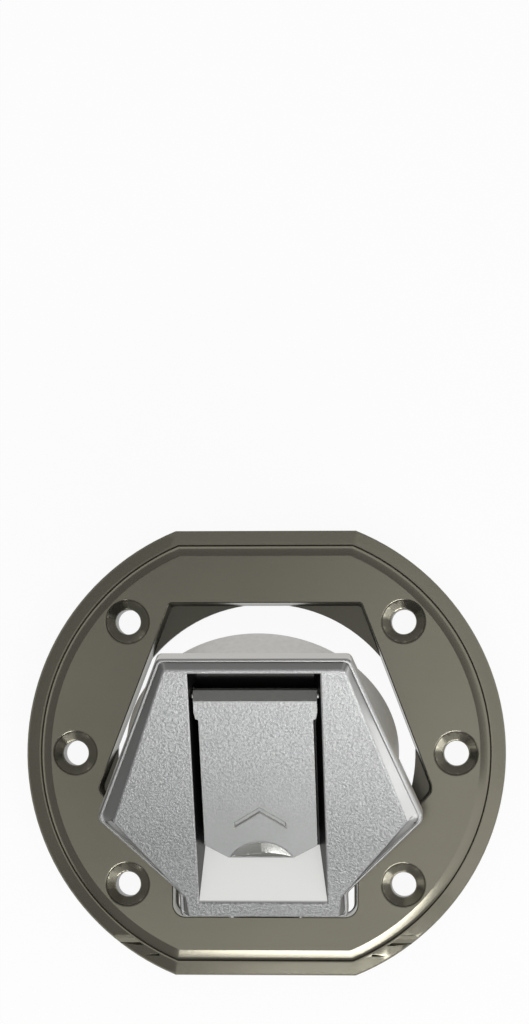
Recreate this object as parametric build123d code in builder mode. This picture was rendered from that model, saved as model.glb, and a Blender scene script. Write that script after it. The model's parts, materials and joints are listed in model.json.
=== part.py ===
import math
import os
from build123d import *

os.makedirs("parts", exist_ok=True)

# Every length is in millimetres. The ring lies flat with its bosses on z = 0, +Z is the outer side,
# the hinge is at -Y and the latch at +Y.
RING_R = 53.0
FLAT_Y = 49.1
RING_H = 8.1
RIM_STEP = 1.6
RIM_WIDTH = 5.6
BOSS_R = 5.0
SKIRT_Z = 0.8
WEB_Z = 2.0
WEB_R = 46.4
POCKET_Z = 5.0
BOLT_R = 2.75
SINK_R = 5.05
CORNER_BOLT = (30.5, 29.0)
SIDE_BOLT_X = 42.1
NECK_R = 33.0
LEDGE_Z = 3.7

# The hinge and the angle at which the lid rests ajar.
PIVOT_Y = -42.0
PIVOT_Z = 4.8
REST_ANGLE = 32.0
PIN_R = 1.25
PIN_X = 12.4
SLOT_X = 8.0
SLOT_END_Y = -45.15
SKIN_Z = 7.15
NOSE_Y = -36.3
ARM_X = 7.3
RIB_WIDTH = 2.4
BARREL_R = 2.3
NECK_IN = 6.75
NECK_OUT = 8.3

# The lid, as it lies when closed.
LID_TOP = 7.9
LID_EDGE = 4.0
LID_SKIN = 1.6
LID_RIM = 2.3
LIP_DROP = 1.4
CUP_R = 29.8
CUP_WALL = 0.85
DECK_Z = 0.4
TUB_Z = 1.9
FLOOR_Z = 2.9
HUB_R = 13.0
HUB_Z = -7.0
SEAL_GAP = 0.55
SEAL_CLAMP_R = 20.0
SEAL_Z = -6.95

# The flap over the keyhole.
FLAP_X = 12.3
FLAP_END_Y = -17.6
NAIL_X = 7.1
NAIL_Y = -21.3
ROLL_X = 13.2
ROLL_Y = 22.6
ROLL_R = 1.6
ROLL_DROP = 2.2
FLAP_EDGE_Y = 22.45
NAIL_DEPTH = 0.65
NAIL_RIM = 0.35
FLAP_DROP = 0.5
FLAP_THICK = 2.2
FLAP_PIN_R = 0.7

# The lock and its latch.
LOCK_R = 6.0
PLUG_R = 4.0
PLUG_END_Z = -8.5
BOLT_X = 4.65
BOLT_TIP_Y = 20.5
BOLT_TOP_Z = -10.8
BOLT_LOW_Z = -13.4
CAM_ARM = 2.93
CAM_START = 30.0
HOUSING_R = 15.3
HOUSING_Z = -16.0
SCREW_X = 9.05
SCREW_R = 1.5

# Clearances of the parts that move.
RUNNING = 0.05
SLIDING = 0.10

REST = math.radians(REST_ANGLE)
LID_OUT = Vector(0, math.cos(REST), math.sin(REST))
LID_UP = Vector(0, -math.sin(REST), math.cos(REST))

# The cup is as deep as lets the hinge side of its rim just touch z = 0 while the lid rests ajar.
CUP_Z = PIVOT_Z - (PIVOT_Z + (PIVOT_Y * -1 - CUP_R) * math.sin(REST)) / math.cos(REST)
ROLL_Z = LID_TOP - FLAP_DROP - ROLL_DROP
SEAL_R = CUP_R - CUP_WALL - SEAL_GAP

# The nick is cut by a ball that meets the face on an arc through the ends of the straight rim.
NAIL_ARC = math.hypot(NAIL_X, FLAP_END_Y - NAIL_Y)
NAIL_WALL = FLAP_END_Y + NAIL_RIM - NAIL_Y
NAIL_UP = (NAIL_ARC**2 - NAIL_WALL**2 - NAIL_DEPTH**2) / (2 * NAIL_DEPTH)
NAIL_BALL = math.hypot(NAIL_ARC, NAIL_UP)

# Room that the edge of the flap sweeps as it turns about its pin.
ROLL_SWEEP = math.hypot(FLAP_EDGE_Y - ROLL_Y, ROLL_DROP) + 0.25


def level(z):
    """Plane parallel to the table at height z."""
    return Plane.XY.offset(z)


def lid_point(x, y, z):
    """Where the point x, y, z of the closed lid lies while the lid rests ajar."""
    return Vector(x, PIVOT_Y, PIVOT_Z) + LID_OUT * (y - PIVOT_Y) + LID_UP * (z - PIVOT_Z)


def lid_level(z):
    """Plane of the tilted lid at closed height z, its x and y as in the closed lid."""
    return Plane(origin=lid_point(0, 0, z), x_dir=(1, 0, 0), z_dir=LID_UP)


def lid_side(x):
    """Plane across the tilted lid at x, its x along the lid's Y and its y along the lid's Z."""
    return Plane(origin=lid_point(x, 0, 0), x_dir=LID_OUT, z_dir=(1, 0, 0))


def lid_half_section():
    """Plane through the lid's own axis, its x along X and its y along the lid's Z."""
    return Plane(origin=lid_point(0, 0, 0), x_dir=(1, 0, 0), z_dir=LID_OUT * -1)


LID_AXIS = Axis(lid_point(0, 0, 0), LID_UP)


def mirrored(points):
    """Close a right-hand half outline with its mirror image."""
    return points + [(-x, y) for x, y in reversed(points)]


def polar(radius, degrees):
    """Point about the hinge in the lid's side plane."""
    angle = math.radians(degrees)
    return (PIVOT_Y + radius * math.cos(angle), PIVOT_Z + radius * math.sin(angle))


def inset(points, distance):
    """Closed outline moved inwards by distance, corner by corner."""
    moved = []
    count = len(points)
    for index in range(count):
        before, here, after = points[index - 1], points[index], points[(index + 1) % count]
        first = Vector(here[0] - before[0], here[1] - before[1]).normalized()
        second = Vector(after[0] - here[0], after[1] - here[1]).normalized()
        half = (1 + first.X * second.X + first.Y * second.Y)
        shift_x = (first.Y + second.Y) * -1 / half
        shift_y = (first.X + second.X) / half
        moved.append((here[0] + shift_x * distance * SENSE, here[1] + shift_y * distance * SENSE))
    return moved


# The outlines run clockwise seen from above, so inwards lies to the right of each edge.
SENSE = -1

LID_OUTLINE = mirrored([(20.4, 32.3), (35.5, -8.3), (18.5, -27.5), (18.5, -33.9)])
LID_RADII = [1.4, 2.6, 2.0, 1.0, 1.0, 2.0, 2.6, 1.4]
TOP_OUTLINE = mirrored([(19.1, 30.5), (31.9, -8.0), (17.0, -28.0), (16.5, -33.0)])
TOP_RADII = [0.9, 2.2, 1.2, 0.5, 0.5, 1.2, 2.2, 0.9]
MOUTH_OUTLINE = mirrored([(21.4, 33.35), (37.3, -8.1), (20.6, -27.3), (20.6, -36.35)])
MOUTH_RADII = [1.0, 2.3, 1.7, 2.8, 2.8, 1.7, 2.3, 1.0]

# Lightening pockets on one half of the underside: middle angle, inner and outer radius, half angle.
LIGHTENINGS = [
    (-56.6, 41.6, 45.4, 5.0),
    (-30.0, 38.4, 45.2, 5.6),
    (-14.5, 38.9, 45.8, 4.9),
    (14.5, 38.2, 45.4, 5.4),
    (30.0, 38.2, 45.2, 5.8),
    (60.3, 40.3, 45.6, 6.6),
    (82.0, 37.6, 43.6, 5.6),
]
EJECTOR_MARKS = [(20.95, -32.0), (38.9, -16.0), (38.9, 15.6), (13.0, 39.8)]
CORNERS = [(x * CORNER_BOLT[0], y * CORNER_BOLT[1]) for x in (1, -1) for y in (1, -1)]
BOLTS = CORNERS + [(SIDE_BOLT_X, 0), (-SIDE_BOLT_X, 0)]


# What the notches take out of the rim outside its crest, on both sides of the hinge.
with BuildPart() as rim_notches:
    for side in (23.5, -33.5):
        with BuildSketch(Plane.YZ.offset(side)):
            with BuildLine():
                Polyline(
                    (-40.05, 9),
                    (-40.1, 6.8),
                    (-40.3, 6.65),
                    (-40.95, 6.25),
                    (-41.95, 6.2),
                    (-42.1, 6.5),
                    (-42.5, 7.1),
                    (-42.5, 9),
                    close=True,
                )
            make_face()
            with BuildLine():
                Polyline((-44.35, 9), (-44.35, 6.95), (-44.85, 6.65), (-44.95, 9), close=True)
            make_face()
        extrude(amount=10)
    with BuildSketch(level(0)):
        Circle(RING_R - 2.75)
    extrude(amount=RING_H + 2, mode=Mode.SUBTRACT)

# Cast ring that is bolted to the tank.
with BuildPart() as mounting_ring:
    with BuildSketch(level(SKIRT_Z)):
        Circle(RING_R)
        Rectangle(3 * RING_R, 2 * FLAT_Y, mode=Mode.INTERSECT)
    extrude(amount=RING_H - RIM_STEP - SKIRT_Z)
    # Bevel from the outer wall up to the crest.
    with BuildSketch(level(RING_H - RIM_STEP)):
        Circle(RING_R - 0.3)
        Rectangle(3 * RING_R, 2 * (FLAT_Y - 0.3), mode=Mode.INTERSECT)
    with BuildSketch(level(RING_H - 0.55)):
        Circle(RING_R - 2.85)
        Rectangle(3 * RING_R, 2 * (FLAT_Y - 2.85), mode=Mode.INTERSECT)
    loft(ruled=True)
    # Narrow valley inside the crest, a shelf, and the sloped band up to the flat face.
    for low, deep, high, shallow, kind in (
        (3.35, 1.2, 3.1, 0.5, Mode.SUBTRACT),
        (3.35, 1.2, 3.45, 0.95, Mode.ADD),
        (3.45, 0.95, 4.05, 0.8, Mode.ADD),
        (4.05, 0.8, RIM_WIDTH, 0.0, Mode.ADD),
    ):
        with BuildSketch(level(RING_H - deep)):
            Circle(RING_R - low)
            Rectangle(3 * RING_R, 2 * (FLAT_Y - low), mode=Mode.INTERSECT)
        with BuildSketch(level(RING_H - shallow)):
            Circle(RING_R - high)
            Rectangle(3 * RING_R, 2 * (FLAT_Y - high), mode=Mode.INTERSECT)
        loft(ruled=True, mode=kind)
    add(rim_notches.part, mode=Mode.SUBTRACT)
    # Recessed web of the underside with its bosses and lightening pockets.
    with BuildSketch(level(0)):
        Circle(WEB_R)
        with Locations((0, -0.35)):
            Rectangle(3 * RING_R, 89.5, mode=Mode.INTERSECT)
    extrude(amount=WEB_Z, mode=Mode.SUBTRACT)
    with BuildSketch(level(0)):
        with Locations(*BOLTS):
            Circle(BOSS_R)
    extrude(amount=WEB_Z + 0.5)
    with BuildSketch(level(0)):
        with Locations(*BOLTS):
            Circle(BOSS_R - 0.95)
    extrude(amount=0.3, mode=Mode.SUBTRACT)
    with BuildSketch(level(WEB_Z)) as lightenings:
        for middle, inner, outer, half in LIGHTENINGS:
            for side in (middle, 180 - middle):
                with BuildLine():
                    low = CenterArc((0, 0), inner, side - half, 2 * half)
                    high = CenterArc((0, 0), outer, side - half, 2 * half)
                    Line(low @ 0, high @ 0)
                    Line(low @ 1, high @ 1)
                make_face()
        fillet(lightenings.vertices(), 1.2)
    extrude(amount=POCKET_Z - WEB_Z, mode=Mode.SUBTRACT)
    with BuildSketch(level(WEB_Z)):
        with Locations(*EJECTOR_MARKS, *[(-x, y) for x, y in EJECTOR_MARKS]):
            Circle(1.74)
    extrude(amount=0.15, mode=Mode.SUBTRACT)
    # Pocket of the lid with drafted walls, open to the neck below.
    with BuildSketch(level(LEDGE_Z)):
        with BuildLine():
            FilletPolyline(*inset(MOUTH_OUTLINE, 0.75), radius=MOUTH_RADII, close=True)
        make_face()
    with BuildSketch(level(RING_H - 0.15)):
        with BuildLine():
            FilletPolyline(*inset(MOUTH_OUTLINE, 0.2), radius=MOUTH_RADII, close=True)
        make_face()
    loft(ruled=True, mode=Mode.SUBTRACT)
    with BuildSketch(level(RING_H - 0.15)):
        with BuildLine():
            FilletPolyline(*inset(MOUTH_OUTLINE, 0.2), radius=MOUTH_RADII, close=True)
        make_face()
    with BuildSketch(level(RING_H)):
        with BuildLine():
            FilletPolyline(*MOUTH_OUTLINE, radius=MOUTH_RADII, close=True)
        make_face()
    loft(ruled=True, mode=Mode.SUBTRACT)
    with BuildSketch(level(-1)):
        Circle(NECK_R)
    extrude(amount=LEDGE_Z + 1, mode=Mode.SUBTRACT)
    with BuildSketch(level(-1)):
        with BuildLine():
            FilletPolyline(
                (19.5, -20), (19.5, -35.4), (-19.5, -35.4), (-19.5, -20), radius=[0, 2.2, 2.2, 0], close=True
            )
        make_face()
    extrude(amount=LEDGE_Z + 1, mode=Mode.SUBTRACT)
    # Bolt holes, sunk from the outer face.
    with BuildSketch(level(-1)):
        with Locations(*BOLTS):
            Circle(BOLT_R)
    extrude(amount=RING_H + 2, mode=Mode.SUBTRACT)
    for low, deep, high, shallow in (
        (SINK_R - 0.25, 0.15, SINK_R, 0.0),
        (SINK_R - 0.4, 0.5, SINK_R - 0.25, 0.15),
        (BOLT_R + 0.45, 1.55, SINK_R - 0.4, 0.5),
        (BOLT_R + 0.15, 1.75, BOLT_R + 0.45, 1.55),
    ):
        with Locations(*[(x, y, RING_H - (deep + shallow) / 2) for x, y in BOLTS]):
            Cone(low, high, deep - shallow, mode=Mode.SUBTRACT)
    # Slot of the hinge arm under the skin, and the bore of its pin.
    with BuildSketch(level(-1)):
        with Locations((0, (SLOT_END_Y - 30) / 2)):
            Rectangle(2 * SLOT_X, -30 - SLOT_END_Y)
    extrude(amount=SKIN_Z + 1, mode=Mode.SUBTRACT)
    with BuildSketch(level(SKIN_Z)):
        with Locations((0, (NOSE_Y - 33) / 2)):
            Rectangle(2 * SLOT_X, -33 - NOSE_Y)
    extrude(amount=RING_H, mode=Mode.SUBTRACT)
    with BuildSketch(Plane.YZ.offset(-PIN_X)):
        with Locations((PIVOT_Y, PIVOT_Z)):
            Circle(PIN_R)
    extrude(amount=2 * PIN_X, mode=Mode.SUBTRACT)

# Hinge pin, held in the ring.
with BuildPart() as lid_hinge_pin:
    with BuildSketch(Plane.YZ.offset(-PIN_X)):
        with Locations((PIVOT_Y, PIVOT_Z)):
            Circle(PIN_R)
    extrude(amount=2 * PIN_X)

# Bay of the flap: half width, hinge end and latch end where it crosses a height.
BAY_TOP = (14.15, -29.5, 29.6)
BAY_FLOOR = (12.5, -17.2, 27.0)


def bay(z, wall):
    """Half width, hinge end and latch end of the bay's walls, wall mm outside, at height z."""
    share = (LID_TOP - z) / (LID_TOP - FLOOR_Z)
    half, near, far = [top + (floor - top) * share for top, floor in zip(BAY_TOP, BAY_FLOOR)]
    return half + wall, near - wall, far + wall


# Cover of the lid with the bay sunk into it.
with BuildPart() as lid_cover:
    with BuildSketch(lid_level(LID_TOP - LID_EDGE)):
        with BuildLine():
            FilletPolyline(*LID_OUTLINE, radius=LID_RADII, close=True)
        make_face()
    extrude(amount=LID_EDGE - LIP_DROP - 0.35)
    # Rounded lip, the groove inside it and the bevel up to the top face.
    with BuildSketch(lid_level(LID_TOP - LIP_DROP - 0.35)):
        with BuildLine():
            FilletPolyline(*LID_OUTLINE, radius=LID_RADII, close=True)
        make_face()
    with BuildSketch(lid_level(LID_TOP - LIP_DROP)):
        with BuildLine():
            FilletPolyline(*inset(LID_OUTLINE, 0.3), radius=LID_RADII, close=True)
        make_face()
    loft(ruled=True)
    with BuildSketch(lid_level(LID_TOP - LIP_DROP - 0.3)):
        with BuildLine():
            FilletPolyline(*inset(LID_OUTLINE, 0.55), radius=LID_RADII, close=True)
        make_face()
    extrude(amount=1, mode=Mode.SUBTRACT)
    with BuildSketch(lid_level(LID_TOP - LIP_DROP - 0.3)):
        with BuildLine():
            FilletPolyline(*inset(LID_OUTLINE, 0.75), radius=LID_RADII, close=True)
        make_face()
    with BuildSketch(lid_level(LID_TOP)):
        with BuildLine():
            FilletPolyline(*TOP_OUTLINE, radius=TOP_RADII, close=True)
        make_face()
    loft(ruled=True)
    with BuildSketch(lid_level(LID_TOP - LID_EDGE)):
        with BuildLine():
            FilletPolyline(*inset(LID_OUTLINE, LID_RIM), radius=1.0, close=True)
        make_face()
    extrude(amount=LID_EDGE - LID_SKIN, mode=Mode.SUBTRACT)
    for height in (TUB_Z, LID_TOP - 0.6):
        wide, near, far = bay(height, 1.05)
        with BuildSketch(lid_level(height)):
            with Locations((0, (near + far) / 2)):
                Rectangle(2 * wide, far - near)
    loft(ruled=True)
    with BuildSketch(lid_level(FLOOR_Z)):
        with Locations((15.0, ROLL_Y), (-15.0, ROLL_Y)):
            Rectangle(2.8, 5.6)
    extrude(amount=LID_TOP - FLOOR_Z - 1)
    with BuildSketch(lid_level(5.4)):
        with Locations((20, 6), (-20, 6), (18, -17), (-18, -17)):
            Circle(3.0)
    extrude(amount=1.2)
    for height in (FLOOR_Z, LID_TOP + 1):
        wide, near, far = bay(height, 0)
        with BuildSketch(lid_level(height)):
            with Locations((0, (near + far) / 2)):
                Rectangle(2 * wide, far - near)
    loft(ruled=True, mode=Mode.SUBTRACT)
    with BuildSketch(lid_level(FLOOR_Z)):
        with Locations((0, ROLL_Y)):
            Rectangle(2 * ROLL_X + 0.6, 2 * ROLL_SWEEP)
    extrude(amount=LID_TOP, mode=Mode.SUBTRACT)
    with BuildSketch(lid_level(0)):
        Circle(LOCK_R)
    extrude(amount=FLOOR_Z + 1, mode=Mode.SUBTRACT)
    with BuildSketch(lid_level(3)):
        with Locations((20, 6), (-20, 6), (18, -17), (-18, -17)):
            Circle(1.3)
    extrude(amount=4.2, mode=Mode.SUBTRACT)
    with BuildSketch(lid_side(-15.6)):
        with Locations((ROLL_Y, ROLL_Z)):
            Circle(FLAP_PIN_R)
    extrude(amount=31.2, mode=Mode.SUBTRACT)

# Cast base of the lid: flange, deck, cup round the seal, hub of the lock and the hinge arm.
with BuildPart() as lid_base:
    with BuildSketch(lid_level(LID_TOP - LID_EDGE)):
        with BuildLine():
            FilletPolyline(*inset(LID_OUTLINE, LID_RIM), radius=1.0, close=True)
        make_face()
    extrude(amount=1.5)
    with BuildSketch(lid_level(CUP_Z)):
        Circle(CUP_R)
    extrude(amount=LID_TOP - LID_EDGE - CUP_Z)
    with BuildSketch(lid_level(CUP_Z)):
        Circle(CUP_R - CUP_WALL)
    extrude(amount=DECK_Z - CUP_Z, mode=Mode.SUBTRACT)
    with BuildSketch(lid_level(HUB_Z)):
        Circle(HUB_R)
    extrude(amount=DECK_Z - HUB_Z)
    # Room for the tub of the cover and for the ends of the flap's roll.
    for height in (TUB_Z, LID_TOP - 0.6):
        wide, near, far = bay(height, 1.05)
        with BuildSketch(lid_level(height)):
            with Locations((0, (near + far) / 2)):
                Rectangle(2 * wide, far - near)
    loft(ruled=True, mode=Mode.SUBTRACT)
    with BuildSketch(lid_level(FLOOR_Z)):
        with Locations((15.0, ROLL_Y), (-15.0, ROLL_Y)):
            Rectangle(2.8, 5.6)
    extrude(amount=LID_TOP, mode=Mode.SUBTRACT)
    with BuildSketch(lid_level(HUB_Z)):
        Circle(LOCK_R)
    extrude(amount=LID_TOP - HUB_Z, mode=Mode.SUBTRACT)
    with BuildSketch(lid_level(HUB_Z)):
        with Locations((SCREW_X, 0), (-SCREW_X, 0)):
            Circle(SCREW_R)
    extrude(amount=6.0, mode=Mode.SUBTRACT)
    with BuildSketch(lid_level(DECK_Z)):
        with Locations((20, 6), (-20, 6), (18, -17), (-18, -17)):
            Circle(2.6)
    extrude(amount=1.0, mode=Mode.SUBTRACT)
    with BuildSketch(lid_level(DECK_Z)):
        with Locations((20, 6), (-20, 6), (18, -17), (-18, -17)):
            Circle(1.3)
    extrude(amount=LID_TOP, mode=Mode.SUBTRACT)
    # Side ribs of the arm from the barrel round the skin's nose to the cup.
    for start in (-ARM_X, ARM_X - RIB_WIDTH):
        with BuildSketch(lid_side(start)):
            with Locations((PIVOT_Y, PIVOT_Z)):
                Circle(BARREL_R)
            with BuildLine():
                Polyline(
                    (PIVOT_Y - 1.5, PIVOT_Z - 1.6),
                    polar(NECK_OUT, -65.0),
                    polar(9.6, -50.0),
                    (-CUP_R + 0.5, -5.6),
                    (-CUP_R + 0.5, TUB_Z),
                    (-CUP_R - 3.6, TUB_Z),
                    polar(NECK_OUT, -14.0),
                    polar(NECK_IN, -12.0),
                    polar(NECK_IN, -20.0),
                    polar(NECK_IN, -28.0),
                    polar(NECK_IN, -37.0),
                    polar(NECK_IN, -46.0),
                    (PIVOT_Y + 1.9, PIVOT_Z - 0.6),
                    close=True,
                )
            make_face()
        extrude(amount=RIB_WIDTH)
    # Web between the ribs, with the window beside the cup.
    with BuildSketch(lid_side(-ARM_X + 0.5)):
        with Locations((PIVOT_Y, PIVOT_Z)):
            Circle(BARREL_R)
        with BuildLine():
            Polyline(
                (PIVOT_Y - 0.6, PIVOT_Z - 1.5),
                polar(NECK_OUT, -60.0),
                polar(NECK_OUT, -46.0),
                polar(NECK_OUT, -32.0),
                (-CUP_R + 0.5, 0.2),
                (-CUP_R + 0.5, TUB_Z),
                (-CUP_R - 3.6, TUB_Z),
                polar(NECK_OUT, -14.0),
                polar(NECK_IN, -12.0),
                polar(NECK_IN, -20.0),
                polar(NECK_IN, -28.0),
                polar(NECK_IN, -37.0),
                polar(NECK_IN, -46.0),
                (PIVOT_Y + 1.9, PIVOT_Z - 0.6),
                close=True,
            )
        make_face()
    extrude(amount=2 * ARM_X - 1.0)
    with BuildSketch(lid_level(-4)):
        with Locations((0, -32.6)):
            Rectangle(5.2, 3.0)
    extrude(amount=8.0, mode=Mode.SUBTRACT)
    with BuildSketch(lid_side(-ARM_X - 1)):
        with Locations((PIVOT_Y, PIVOT_Z)):
            Circle(PIN_R + RUNNING)
    extrude(amount=2 * ARM_X + 2, mode=Mode.SUBTRACT)

# Four screws that hold the cover on the base.
with BuildPart() as cover_screws:
    with BuildSketch(lid_level(DECK_Z)):
        with Locations((20, 6), (-20, 6), (18, -17), (-18, -17)):
            Circle(2.6)
    extrude(amount=1.0)
    with BuildSketch(lid_level(DECK_Z)):
        with Locations((20, 6), (-20, 6), (18, -17), (-18, -17)):
            Circle(1.3)
    extrude(amount=6.6)
    with BuildSketch(lid_level(DECK_Z)):
        with Locations((20, 6), (-20, 6), (18, -17), (-18, -17)):
            Rectangle(2.8, 0.6)
            Rectangle(0.6, 2.8)
    extrude(amount=0.6, mode=Mode.SUBTRACT)

# What a fingernail's nick takes out of the flap: a half moon with a thin straight rim at the end.
with BuildPart() as nail_nick:
    with BuildSketch(lid_level(LID_TOP - FLAP_DROP - NAIL_DEPTH - 0.2)):
        with Locations((0, FLAP_END_Y + NAIL_RIM + 5)):
            Rectangle(2 * NAIL_X, 10)
    extrude(amount=NAIL_DEPTH + 0.2)
    with Locations(lid_point(0, NAIL_Y, LID_TOP - FLAP_DROP + NAIL_UP)):
        Sphere(NAIL_BALL, mode=Mode.INTERSECT)

# Flap over the keyhole with its roll, finger scoop and a plain arrow.
with BuildPart() as key_flap:
    with BuildSketch(lid_level(LID_TOP - FLAP_DROP - FLAP_THICK)):
        with BuildLine():
            Polyline(
                (ROLL_X, ROLL_Y + 1.7),
                (ROLL_X, 19.6),
                (ROLL_X - 0.3, 18.0),
                (FLAP_X, 17.7),
                (FLAP_X, -14.3),
                (NAIL_X, FLAP_END_Y),
                (-NAIL_X, FLAP_END_Y),
                (-FLAP_X, -14.3),
                (-FLAP_X, 17.7),
                (0.3 - ROLL_X, 18.0),
                (-ROLL_X, 19.6),
                (-ROLL_X, ROLL_Y + 1.7),
                close=True,
            )
        make_face()
    extrude(amount=FLAP_THICK)
    add(nail_nick.part, mode=Mode.SUBTRACT)
    # Slope from the face down to the roll.
    with BuildSketch(lid_side(-ROLL_X - 1)):
        with BuildLine():
            Polyline(
                (FLAP_EDGE_Y, LID_TOP - FLAP_DROP),
                (FLAP_EDGE_Y + 3.7, LID_TOP - FLAP_DROP - 3.0),
                (FLAP_EDGE_Y + 3.7, LID_TOP),
                (FLAP_EDGE_Y, LID_TOP),
                close=True,
            )
        make_face()
    extrude(amount=2 * ROLL_X + 2, mode=Mode.SUBTRACT)
    with BuildSketch(lid_side(-ROLL_X)):
        with Locations((ROLL_Y, ROLL_Z)):
            Circle(ROLL_R)
    extrude(amount=2 * ROLL_X)
    # Plain arrow with sloping walls.
    with BuildSketch(lid_level(LID_TOP - FLAP_DROP)):
        with BuildLine():
            Polyline((-5.7, -9.9), (0, -5.9), (5.7, -9.9), (5.7, -8.4), (0, -4.4), (-5.7, -8.4), close=True)
        make_face()
    extrude(amount=-0.35, taper=40, mode=Mode.SUBTRACT)
    # Room for the spring round the pin, open below.
    with BuildSketch(lid_side(-3.8)):
        with Locations((ROLL_Y, ROLL_Z)):
            Circle(1.2)
        with Locations((ROLL_Y, ROLL_Z - 1.5)):
            Rectangle(2.4, 3.0)
    extrude(amount=7.6, mode=Mode.SUBTRACT)
    with BuildSketch(lid_side(-20)):
        with Locations((ROLL_Y, ROLL_Z)):
            Circle(FLAP_PIN_R + RUNNING)
    extrude(amount=40, mode=Mode.SUBTRACT)

# Pin of the flap.
with BuildPart() as flap_hinge_pin:
    with BuildSketch(lid_side(-15.6)):
        with Locations((ROLL_Y, ROLL_Z)):
            Circle(FLAP_PIN_R)
    extrude(amount=31.2)

# Coil round the pin that keeps the flap shut.
with BuildPart() as flap_spring:
    with BuildLine():
        coil = Helix(
            pitch=1.0, height=6.0, radius=1.0, center=lid_point(-3.0, ROLL_Y, ROLL_Z), direction=(1, 0, 0)
        )
    with BuildSketch(Plane(origin=coil @ 0, z_dir=coil % 0)):
        Rectangle(0.32, 0.32)
    sweep(path=coil.edges()[0], is_frenet=True)

# Body of the lock, seated on the floor of the bay.
with BuildPart() as lock_housing:
    with BuildSketch(lid_level(HUB_Z - 1.4)):
        Circle(LOCK_R)
    extrude(amount=FLOOR_Z - HUB_Z + 1.4)
    with BuildSketch(lid_level(FLOOR_Z)):
        Circle(7.5)
    extrude(amount=LID_TOP - FLAP_DROP - FLAP_THICK - FLOOR_Z - SLIDING)
    with BuildSketch(lid_level(HUB_Z - 2)):
        Circle(PLUG_R + RUNNING)
    extrude(amount=14, mode=Mode.SUBTRACT)
    with BuildSketch(lid_level(FLOOR_Z + 0.2)):
        Circle(PLUG_R + 0.8 + RUNNING)
    extrude(amount=3, mode=Mode.SUBTRACT)
    with BuildSketch(lid_half_section()):
        with Locations((5.5, -2.0)):
            Rectangle(1.0, 1.4)
    revolve(axis=LID_AXIS, mode=Mode.SUBTRACT)

# Ring that seals the lock in the hub.
with BuildPart() as lock_seal:
    with BuildSketch(lid_half_section()):
        with Locations((5.5, -2.0)):
            Circle(0.5)
    revolve(axis=LID_AXIS)

# Turning core of the lock with its key slot.
with BuildPart() as key_plug:
    with BuildSketch(lid_level(PLUG_END_Z)):
        Circle(PLUG_R)
    extrude(amount=FLOOR_Z + 0.8 - PLUG_END_Z)
    with BuildSketch(lid_level(FLOOR_Z + 0.25)):
        Circle(PLUG_R + 0.8)
    extrude(amount=0.85)
    with BuildSketch(lid_level(PLUG_END_Z - 1.9)):
        Circle(1.0)
    extrude(amount=3.0)
    with BuildSketch(lid_level(-6.0)):
        Rectangle(1.1, 6.2)
    extrude(amount=12, mode=Mode.SUBTRACT)
    for height in (-4.6, -2.8, -1.0, 0.8):
        with BuildSketch(lid_level(height)):
            Rectangle(3.2, 7.2)
        extrude(amount=0.8, mode=Mode.SUBTRACT)

# Tumbler plates of the lock.
with BuildPart() as lock_wafers:
    for height in (-4.6, -2.8, -1.0, 0.8):
        with BuildSketch(lid_level(height)):
            Rectangle(3.2, 7.2)
            Rectangle(1.4, 5.0, mode=Mode.SUBTRACT)
        extrude(amount=0.8)

# Cam on the end of the core, with the peg that pulls the latch.
with BuildPart() as lock_cam:
    with BuildSketch(lid_level(PLUG_END_Z - 1.0)):
        Circle(4.6)
        Circle(1.0, mode=Mode.SUBTRACT)
    extrude(amount=1.0)
    with BuildSketch(lid_level(BOLT_LOW_Z + 0.4)):
        with Locations(
            (CAM_ARM * math.sin(math.radians(CAM_START)), CAM_ARM * math.cos(math.radians(CAM_START)))
        ):
            Circle(0.9)
    extrude(amount=PLUG_END_Z - BOLT_LOW_Z - 0.9)

# Clip that keeps the cam on the core.
with BuildPart() as cam_clip:
    with BuildSketch(lid_level(PLUG_END_Z - 1.6)):
        Circle(1.9)
        Circle(1.0, mode=Mode.SUBTRACT)
        with Locations((-1.5, -1.5)):
            Rectangle(0.8, 3.0, rotation=-45, mode=Mode.SUBTRACT)
    extrude(amount=0.6)

# Housing of the latch: round base, side pads and the rib that holds the bolt.
with BuildPart() as latch_housing:
    with BuildSketch(lid_level(HUB_Z - 3.4)):
        Circle(HOUSING_R)
    extrude(amount=3.4)
    with BuildSketch(lid_level(-13.0)):
        Circle(14.5)
        with Locations((0, -2)):
            Rectangle(40, 26, mode=Mode.INTERSECT)
    extrude(amount=13.0 + HUB_Z - 3.0)
    with BuildSketch(lid_level(HOUSING_Z)) as rib:
        with BuildLine():
            Polyline((6.4, 10.6), (6.4, -12.4), (-6.4, -12.4), (-6.4, 10.6))
            ThreePointArc((-6.4, 10.6), (0, 13.4), (6.4, 10.6))
        make_face()
        with Locations((SCREW_X, 0), (-SCREW_X, 0)):
            Circle(3.6, mode=Mode.SUBTRACT)
    extrude(amount=HUB_Z - 3.0 - HOUSING_Z)
    with BuildSketch(lid_level(HUB_Z - 3.4)):
        Circle(5.2)
    extrude(amount=4, mode=Mode.SUBTRACT)
    with BuildSketch(lid_level(HUB_Z - 1.4)):
        Circle(LOCK_R)
    extrude(amount=4, mode=Mode.SUBTRACT)
    with BuildSketch(lid_level(BOLT_LOW_Z - SLIDING)):
        with Locations((0, 1.7)):
            Rectangle(2 * (BOLT_X + SLIDING), 26.6)
    extrude(amount=BOLT_TOP_Z - BOLT_LOW_Z + 2 * SLIDING, mode=Mode.SUBTRACT)
    with BuildSketch(lid_level(BOLT_TOP_Z)):
        Circle(5.2)
    extrude(amount=3, mode=Mode.SUBTRACT)
    with BuildSketch(lid_level(HOUSING_Z)):
        with Locations((SCREW_X, 0), (-SCREW_X, 0)):
            Circle(SCREW_R)
    extrude(amount=20, mode=Mode.SUBTRACT)

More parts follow.
